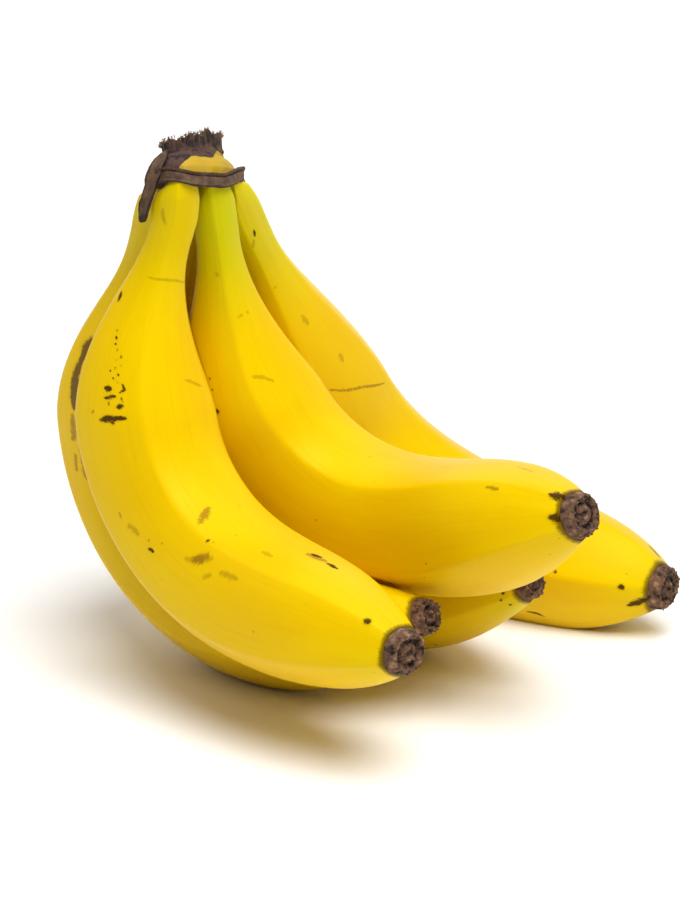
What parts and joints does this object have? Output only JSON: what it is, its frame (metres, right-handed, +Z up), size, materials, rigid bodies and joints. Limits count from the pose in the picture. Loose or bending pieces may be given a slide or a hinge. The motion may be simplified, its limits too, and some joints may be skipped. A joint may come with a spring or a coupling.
{
  "type": "bunch of bananas",
  "caption": "Hand of ripe bananas on one brown cut crown: curved, ridged yellow fruit with dark blossom ends and a dried bract strip, resting on their bellies.",
  "frame": {"origin": "on the surface that the bunch rests on, under the middle of its bounding box", "axes": "+Z up; +X along the bunch's greatest spread, from the crown's side towards the fingertips; -Y is the side that the front banana's tip points to"},
  "size_m": [0.1747, 0.1652, 0.1537],
  "materials": {
    "peel": "waxy satin banana peel, green at the necks, with brown marks",
    "crown": "dry fibrous cut, dark brown, with yellow skin on the cushion",
    "dried_bract": "dry wrinkled brown skin",
    "blossom_end": "dry, corky, grey-brown"
  },
  "bodies": {
    "root": {"crown": "crown", "bract_strip": "dried_bract", "banana_front": "peel", "banana_middle": "peel", "banana_back": "peel", "banana_under_front": "peel", "banana_under_middle": "peel", "blossom_end_front": "blossom_end", "blossom_end_middle": "blossom_end", "blossom_end_back": "blossom_end", "blossom_end_under_front": "blossom_end", "blossom_end_under_middle": "blossom_end"}
  },
  "joints": []
}
